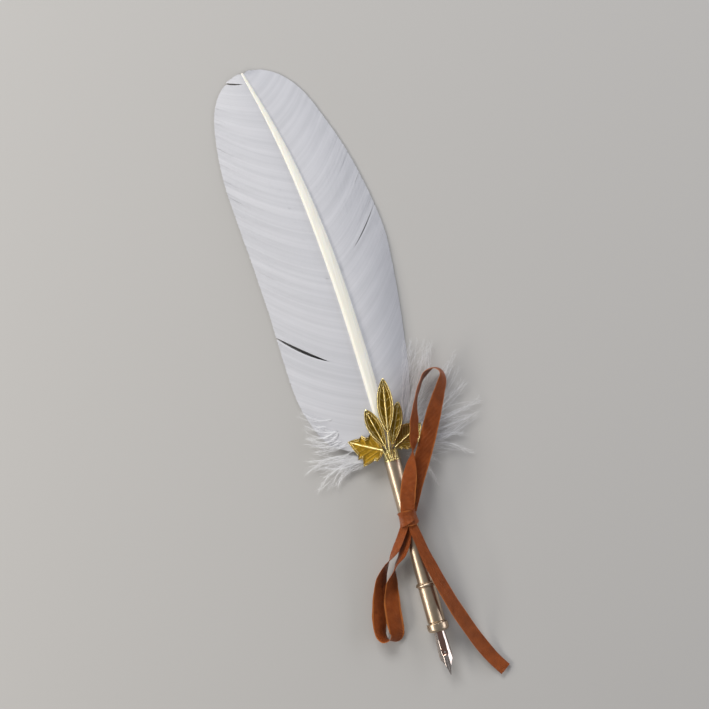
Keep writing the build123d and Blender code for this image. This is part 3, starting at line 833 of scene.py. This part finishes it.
def stamped_leaf(name, right, left, stem_x, lift, heading, rise, spacing, vein_height, cup, curl):
    """A leaf blade in its own frame along +Y, set in place on the pad."""
    length = right[-1][1]
    rows = int(length / LEAF_STEP)
    points, ground = [], []
    place = (Matrix.Translation((stem_x, pad_high.y + 0.1, pad_high.z + lift))
             @ Matrix.Rotation(math.radians(heading), 4, "Z")
             @ Matrix.Rotation(math.radians(rise), 4, "X"))
    for row in range(rows + 1):
        y = length * row / rows
        widths = [max(abs(float(np.interp(y, [p[1] for p in side], [p[0] for p in side]))), 0.03)
                  for side in (left, right)]
        full = math.sin(math.pi * row / rows) ** 0.7
        for column in range(-LEAF_COLUMNS, LEAF_COLUMNS + 1):
            v = column / LEAF_COLUMNS
            x = v * widths[v > 0]
            edge = (1 - abs(v)) * widths[v > 0] * 0.85
            edge = min(edge, (length - y) * 0.4 + 0.03, y * 0.8 + 0.2)
            height = leaf_height(x, y, edge, length, spacing, vein_height)
            bend = cup * full * v * v + curl * full * math.sin(0.55 * y + (2 if v > 0 else 0)) * v * v
            round_off = 0.1 * max(0, 1 - edge / 0.12)
            for z in (LEAF_TOP + height + bend - round_off, LEAF_UNDER + bend * 0.95 + round_off):
                points.append(place @ Vector((x, y, z)))
            ground += [1 - float(np.interp(height, RAISED, (0, 1))), 0.5]
    wide = 2 * (2 * LEAF_COLUMNS + 1)
    faces = []
    for row in range(rows):
        a = row * wide
        for k in range(0, wide - 2, 2):
            faces.append((a + k, a + k + 2, a + wide + k + 2, a + wide + k))
            faces.append((a + k + 3, a + k + 1, a + wide + k + 1, a + wide + k + 3))
        faces.append((a + 1, a, a + wide, a + wide + 1))
        faces.append((a + wide - 2, a + wide - 1, a + 2 * wide - 1, a + 2 * wide - 2))
    for a in (0, rows * wide):
        faces += [(a + k, a + k + 2, a + k + 3, a + k + 1) for k in range(0, wide - 2, 2)]
    made = mesh_of(name, points, faces, 60)
    made.data.attributes.new("ground", "FLOAT", "POINT").data.foreach_set("value", ground)
    outward(made)
    # Wire stem: up from the collar's foot, over the pad, and on along the midrib
    line = [Vector((stem_x * 0.55, pad_low.y + 0.2, pad_high.z + 0.1)),
            Vector((stem_x * 0.8, pad_low.y + 2.4, pad_high.z + 0.4 * lift + 0.3))]
    line += [place @ Vector((0, part * length, 0.55)) for part in (0.02, 0.2, 0.42, 0.64)]
    stem = wire(name + "_stem", smooth_path(line, 40), lambda t: 0.44 - 0.3 * t)
    for piece in (made, stem):
        dress(piece, gilt, "pen_body")
    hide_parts(name)


def wire(name, line, radius_at):
    """A round wire along a line, its radius given by how far along it is."""
    points = []
    for i, p in enumerate(line):
        here = Vector(p)
        ahead = (Vector(line[min(i + 1, len(line) - 1)]) - Vector(line[max(i - 1, 0)])).normalized()
        side = ahead.cross(Vector((0, 0, 1))).normalized()
        radius = radius_at(i / (len(line) - 1))
        points += [here + radius * (side * math.cos(a) + side.cross(ahead) * math.sin(a))
                   for a in (math.tau * k / WIRE_AROUND for k in range(WIRE_AROUND))]
    made = mesh_of(name, points, tube_faces(len(line), WIRE_AROUND), 60)
    return outward(made)


def both_sides(half):
    """The same margin on the right and mirrored on the left."""
    return half, [(-x, y) for x, y in half]


def almond(length, half_width, foot, full):
    """Half the margin of a plain leaf with a bare foot; a larger full puts its width higher."""
    half = [(0.45, 0.0), (0.45, foot)]
    for k in range(1, 41):
        t = k / 40
        half.append((max(half_width * math.sin(math.pi * t ** full) ** 0.72, 0.45 * (1 - t)),
                     foot + (length - foot) * t))
    return half


def toothed(length, half_width, teeth):
    """Half the margin of a saw-edged leaf."""
    edge = [(0.4, 0.0)]
    for i in range(teeth):
        along = (i + 0.9) / (teeth + 0.6)
        reach = half_width * math.sin(math.pi * along ** 0.8)
        edge += [(reach, along * length), (reach - 0.4, (along + 0.02) * length)]
    return edge + [(0.0, length)]


WIRE_AROUND = 12
LEAF_STEP = 0.11
LEAF_COLUMNS = 36
LEAF_TOP = 0.3
LEAF_UNDER = 0.05
# The two raised rims: height, distance from the margin and width
OUTER_RIM = (0.34, 0.28, 0.2)
INNER_RIM = (0.18, 0.95, 0.14)
VEIN_SLANT = 0.9
RIB_FOOT, RIB_FALL, RIB_WIDTH = 0.4, 0.25, 0.26
# Relief below the first height is ground, and above the second it is fully raised
RAISED = (0.05, 0.22)
pad_low, pad_high = box_mm("ornament_collar")

# Gilding is bright on the worn rims and veins; the stippled ground holds dark patina.
gilt, tree = new_material("gilt_stamped_brass")
low = node(tree, "ShaderNodeAttribute", attribute_name="ground")
place = node(tree, "ShaderNodeTexCoord")
# Punch marks are 0.2 mm apart; drawn at 0.4 mm so that they show
stipple = node(tree, "ShaderNodeTexVoronoi", {"Vector": place.outputs["Object"], "Scale": 2500.0})
patina = node(tree, "ShaderNodeTexNoise", {"Vector": place.outputs["Object"], "Scale": 350.0})
level = node(tree, "ShaderNodeMath", {0: 1.0, 1: low.outputs["Fac"]}, operation="SUBTRACT")
rubbed = node(tree, "ShaderNodeMapRange", {
    "Value": patina, "From Min": 0.35, "From Max": 0.6, "To Min": 0.7, "To Max": 1.0})
worn = node(tree, "ShaderNodeMath", {0: level, 1: rubbed}, operation="MULTIPLY")
dull = node(tree, "ShaderNodeMix", {
    0: stipple, 6: linear("#5f480f"), 7: linear("#a88329")}, data_type="RGBA")
tint = node(tree, "ShaderNodeMix", {0: worn, 6: dull, 7: linear("#f4e3a4")}, data_type="RGBA")
rough = node(tree, "ShaderNodeMapRange", {"Value": level, "To Min": 0.42, "To Max": 0.2})
bump = node(tree, "ShaderNodeBump", {"Height": stipple, "Strength": 0.35, "Distance": 0.0001})
finish_material(tree, {"Base Color": tint, "Metallic": 1.0, "Roughness": rough, "Normal": bump})

MAPLE_RIGHT = [(0.4, 0), (2.4, 1.6), (3.9, 3.6), (4.6, 5.0), (6.3, 7.0), (4.3, 7.7), (3.5, 8.6),
               (3.9, 9.8), (4.2, 10.8), (2.9, 11.2), (2.4, 12.0), (1.9, 13.4), (0.9, 15.2), (0.05, 16.3)]
MAPLE_LEFT = [(-0.4, 0), (-3.0, 0.4), (-5.2, 1.6), (-4.9, 2.8), (-6.2, 3.8), (-7.4, 5.2), (-8.6, 6.8),
              (-6.6, 7.4), (-5.4, 8.2), (-6.3, 9.8), (-4.6, 10.2), (-3.9, 11.2), (-3.2, 12.2),
              (-2.4, 13.2), (-1.0, 15.0), (-0.05, 16.3)]
plain_left = both_sides(almond(19.2, 3.2, 0.4, 1.25))
plain_right = both_sides(almond(20.0, 3.0, 0.4, 1.25))
plain_centre = both_sides(almond(30.0, 3.5, 6.5, 1.05))
# After its margins, each leaf has its stem's place across the collar and its lift, its heading
# and rise in degrees, the spacing and height of its veins, and how much it cups and curls
stamped_leaf("leaf_lower_left", MAPLE_RIGHT, MAPLE_LEFT, -2.4, 0.2, 62, -19, 2.9, 0.07, 0.6, 0.22)
stamped_leaf("leaf_lower_right", *both_sides(toothed(15.5, 5.6, 8)),
             2.4, 0.2, -62, -13, 1.0, 0.26, 0.9, 0)
stamped_leaf("leaf_upper_left", *plain_left, -0.95, 0.85, 13.3, 0, 3.2, 0.11, 0.45, 0)
stamped_leaf("leaf_upper_right", *plain_right, 0.95, 0.85, -23, 0, 3.2, 0.11, 0.45, 0)
stamped_leaf("leaf_centre", *plain_centre, 0.0, 1.5, -9.8, 4, 3.6, 0.11, 0.5, 0)

# The collar itself is turned, and a rounded saddle of braze carries the stems.
LIP_R, WAIST_R, COLLAR_BORE = 3.5, 3.3, 2.65
collar_ring = turned("ornament_ring", [
    (COLLAR_BORE, pad_low.y), (LIP_R, pad_low.y), (LIP_R, pad_low.y + 0.7),
    (WAIST_R, pad_low.y + 0.85), (WAIST_R, pad_high.y - 0.85), (LIP_R, pad_high.y - 0.7),
    (LIP_R, pad_high.y), (COLLAR_BORE, pad_high.y)], 0.12, gilt, "pen_body")
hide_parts("ornament_collar")
SADDLE_RINGS, SADDLE_AROUND = 20, 32
SADDLE_HALF = Vector((2.5, 2.3, 1.05))
SADDLE_Z = 7.4
points = []
for ring in range(SADDLE_RINGS + 1):
    along = math.cos(math.pi * ring / SADDLE_RINGS)
    size = max(1 - abs(along) ** 3, 0.0004) ** (1 / 3)
    for k in range(SADDLE_AROUND):
        a = math.tau * k / SADDLE_AROUND
        points.append((SADDLE_HALF.x * size * math.cos(a),
                       (pad_low.y + pad_high.y) / 2 + SADDLE_HALF.y * along,
                       SADDLE_Z + SADDLE_HALF.z * size * math.sin(a)))
saddle = outward(mesh_of("braze_saddle", points, tube_faces(SADDLE_RINGS + 1, SADDLE_AROUND), 60))
dress(saddle, gilt, "pen_body")


# ---- Satin ribbon ----
# One length of woven ribbon tied round the barrel: a loop up beside the feather, a loop down
# beside the grip, and a tail laid out past the nib. It is limp, and turns over where it wants.
def route_line(name, route):
    """Evenly numbered points of the smooth spline whose control points are the route."""
    curve = bpy.data.curves.new(name, "CURVE")
    curve.dimensions = "3D"
    curve.resolution_u = ROUTE_STEPS
    spline = curve.splines.new("NURBS")
    spline.points.add(len(route) - 1)
    for point, row in zip(spline.points, route):
        point.co = (*row[:3], 1)
    spline.order_u = 3
    spline.use_endpoint_u = True
    made = add_object(name, curve)
    ready = made.evaluated_get(bpy.context.evaluated_depsgraph_get())
    line = [v.co / MM for v in bpy.data.meshes.new_from_object(ready).vertices]
    bpy.data.objects.remove(made)
    return line


def strip(name, line, across, widths, seed):
    """A ribbon strip along a line, its width direction and width given at each point."""
    dice = random.Random(seed)
    waves = [(dice.uniform(0.25, 0.9), dice.uniform(0, math.tau), dice.uniform(0.04, 0.11))
             for _ in range(4)]
    points, runs, run = [], [], 0
    for i, here in enumerate(line):
        if i:
            run += (here - line[i - 1]).length
        runs.append(run)
        ahead = (line[min(i + 1, len(line) - 1)] - line[max(i - 1, 0)]).normalized()
        wide = (across[i] - ahead * across[i].dot(ahead)).normalized()
        face = wide.cross(ahead)
        for sign in (1, -1):
            for k in range(-STRIP_HALF, STRIP_HALF + 1):
                c = sign * k / STRIP_HALF
                ripple = sum(h * math.sin(f * run + p + 2.2 * c) for f, p, h in waves) * abs(c)
                selvage = SELVAGE_RISE * max(0, 1 - (1 - abs(c)) / SELVAGE_PART)
                lift = ripple + sign * (RIBBON_T / 2 + selvage) * (1 if abs(k) < STRIP_HALF else 0.4)
                crown = CROWN * (1 - c * c)
                points.append(here + wide * (c * widths[i] / 2) + face * (lift + crown))
    loop = 2 * (2 * STRIP_HALF + 1)
    made = mesh_of(name, points, tube_faces(len(line), loop), 50)
    uv = made.data.uv_layers.new(name="UVMap")
    half = loop // 2
    for corner in made.data.loops:
        k = corner.vertex_index % loop
        c = (k if k < half else loop - 1 - k) / STRIP_HALF - 1
        row = corner.vertex_index // loop
        uv.data[corner.index].uv = (c * widths[row] / 2, runs[row])
    outward(made)
    dress(made, satin, "pen_body")
    return made


def free_ribbon(name, route, seed):
    """A free run of the ribbon: the spline's points, leaning and widening as the rows say."""
    route = [(*(round(c * MM, 6) for c in row[:3]), *row[3:]) for row in route]
    line = route_line(name, route)
    knots = [0] + [k + 0.5 for k in range(len(route) - 2)] + [len(route) - 2]
    rows = np.linspace(0, len(route) - 2, len(line))
    lean = np.interp(rows, knots, [row[3] for row in route])
    width = np.interp(rows, knots, [row[4] for row in route])
    across = []
    for i, here in enumerate(line):
        ahead = (line[min(i + 1, len(line) - 1)] - line[max(i - 1, 0)]).normalized()
        right = ahead.cross(Vector((0, 0, 1))).normalized()
        up = right.cross(ahead)
        a = math.radians(lean[i])
        across.append(up * math.cos(a) + right * math.sin(a))
    made = strip(name + "_strip", line, across, width, seed)
    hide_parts(name)


ROUTE_STEPS = 16
STRIP_HALF = 8
RIBBON_T = 0.26
SELVAGE_RISE = 0.06
SELVAGE_PART = 0.12
CROWN = 0.21

# Woven polyester satin: a low broad sheen, weft ribs across it and a tighter selvage, whose edges carry a
# painted highlight in lighter orange.
satin, tree = new_material("woven_satin")
place = node(tree, "ShaderNodeUVMap", uv_map="UVMap")
apart = node(tree, "ShaderNodeSeparateXYZ", {0: place})
# Weft threads lie 0.2 mm apart; drawn at 0.5 mm so that they show. UV is in millimetres
weft = node(tree, "ShaderNodeTexWave", {
    "Vector": place, "Scale": 0.2 * math.pi, "Distortion": 0.6, "Detail": 1.0}, bands_direction="Y")
warp = node(tree, "ShaderNodeMapping", {"Vector": place, "Scale": (9, 0.35, 1)})
thread_tone = node(tree, "ShaderNodeTexNoise", {"Vector": warp, "Scale": 1.0, "Detail": 2.0})
patch = node(tree, "ShaderNodeTexNoise", {"Vector": place, "Scale": 0.3, "Detail": 3.0})
blend = node(tree, "ShaderNodeMix", {0: patch, 6: linear("#662b10"), 7: linear("#ac5726")},
             data_type="RGBA")
# Painted highlight: a band along each edge of the strip is tinted a lighter orange
edge = node(tree, "ShaderNodeMath", {0: apart}, operation="ABSOLUTE")
painted_edge_highlight = node(tree, "ShaderNodeMapRange", {"Value": edge, "From Min": 2.75, "From Max": 3.05})
tint = node(tree, "ShaderNodeMix", {0: painted_edge_highlight, 6: blend, 7: linear("#bf6f35")}, data_type="RGBA")
ribs = node(tree, "ShaderNodeMath", {0: weft.outputs["Fac"], 1: thread_tone}, operation="ADD")
bump = node(tree, "ShaderNodeBump", {"Height": ribs, "Strength": 1.0, "Distance": 0.00018})
finish_material(tree, {
    "Base Color": tint, "Roughness": 0.34, "IOR": 1.5, "Specular Tint": linear("#ffcba6"),
    "Sheen Weight": 0.2, "Sheen Roughness": 0.35, "Sheen Tint": linear("#ff9d5c"), "Anisotropic": 0.5,
    "Normal": bump})

# Each row: a point of the route, how far the strip leans to the right of its heading in
# degrees, and its width; lengths are in millimetres
UPPER_LOOP = [
    (0.2, 49, 10.4, 88, 5.6), (2.2, 56, 11.2, 84, 6.5), (4.8, 62.5, 11.8, 72, 6.4),
    (7.6, 69.5, 11.8, 34, 5.6), (9.8, 74.5, 11.4, -22, 5.6), (11.6, 79.5, 10.8, -38, 6.2),
    (13.3, 86, 9.9, -30, 6.3), (16, 93.4, 8.6, -13, 6.3), (19.2, 98.9, 7.4, -12, 6.3),
    (22.2, 102.7, 6.6, -14, 6.5), (26.2, 104.6, 6.3, -6, 6.5), (29.2, 103.2, 6.2, 10, 6.5),
    (29.9, 99.7, 6.1, 26, 6.5), (26.8, 94.8, 6.1, 44, 6.5), (23.2, 88.5, 6.3, 68, 6.5),
    (19.6, 82, 6.4, 88, 6.6), (16, 75.4, 6.6, 92, 6.8), (12.6, 69.6, 7.4, 90, 6.8),
    (9.2, 64, 8.2, 88, 6.8), (5.6, 58, 8.8, 86, 6.4), (1.6, 49.5, 9.2, 86, 5.4),
]
LOWER_LOOP = [
    (-1.6, 45, 10.1, -56, 3.6), (-4, 41.2, 9.7, -48, 4.2), (-7.8, 36, 7.6, -38, 5.0),
    (-13.5, 30.6, 5.2, 8, 5.4), (-17.6, 25.2, 3.8, 46, 6.0), (-20.2, 17.5, 2.7, 60, 6.9),
    (-22.6, 9.4, 2.8, 64, 7.2), (-24.2, 3, 2.9, 50, 6.5), (-23.2, -0.4, 3.1, 26, 6.5),
    (-20, -1.6, 3.3, -20, 6.5), (-17.2, 0.2, 3.4, -60, 6.9), (-16.9, 6, 3.6, -80, 7.2),
    (-16, 14, 3.8, -76, 7.0), (-14, 21.5, 4.2, -50, 6.4), (-10.6, 28.5, 5.2, 6, 5.2),
    (-6.2, 33, 7, 40, 5.0), (-3, 37.5, 8.4, 52, 4.4), (-0.6, 45, 9, 64, 3.8),
]
TAIL = [
    (0.6, 44.5, 10.4, 84, 3.8), (1.6, 38, 10.4, 70, 4.4), (3.3, 28, 10.2, 60, 5.2),
    (5.3, 19.5, 10.2, 58, 5.8), (7.5, 10.8, 9.4, 56, 6.3), (10.4, 1.2, 6.8, 60, 6.3),
    (13.4, -7.2, 4, 66, 6.1), (16.2, -14.2, 2.4, 72, 5.9), (19.6, -21.2, 1.5, 78, 5.6),
    (22.7, -25.7, 1.2, 82, 5.5),
]
free_ribbon("ribbon_upper_loop", UPPER_LOOP, 5)
free_ribbon("ribbon_lower_loop", LOWER_LOOP, 6)
free_ribbon("ribbon_tail", TAIL, 7)

# The knot: a turn of ribbon round the barrel, and two pulled bands crossed over its top.
knot_low, knot_high = box_mm("ribbon_knot")
knot_y = (knot_low.y + knot_high.y) / 2
TURN_R = 3.85
TURN_WIDTH = 5.2
TURN_STEPS = 72
BAND_POINTS = 60
turn_line = []
for i in range(TURN_STEPS + 1):
    a = math.tau * i / TURN_STEPS
    turn_line.append(Vector((TURN_R * math.sin(a), knot_y, AXIS_Z + TURN_R * math.cos(a))))
wrap = strip("ribbon_turn", turn_line, [Vector((0, 1, 0))] * len(turn_line),
             [TURN_WIDTH] * len(turn_line), 8)
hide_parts("ribbon_knot")


def pulled_band(name, ends, top, width, pinch, skew, seed):
    """A band pulled tight over the knot, narrow where it goes in at each side."""
    half = [(1, 1, 5.4), (1.04, 0.9, 7.6), (0.72, 0.6, top - 1.0)]
    points = [(ends[0] * out, knot_y - skew * part, z) for out, part, z in half] + [(0, knot_y, top)]
    points += [(ends[1] * out, knot_y + skew * part, z) for out, part, z in reversed(half)]
    line = [Vector(p) for p in smooth_path(points, BAND_POINTS)]
    widths = [width * (1 - pinch * abs(2 * i / (BAND_POINTS - 1) - 1) ** 1.5)
              for i in range(BAND_POINTS)]
    return strip(name, line, [Vector((0.12 * skew, 1, 0))] * BAND_POINTS, widths, seed)


pulled_band("knot_under_band", (-3.5, 3.5), 11.5, 6.6, 0.6, -0.6, 9)
pulled_band("knot_over_band", (-3.6, 3.6), 12.5, 4.0, 0.4, 1.7, 10)
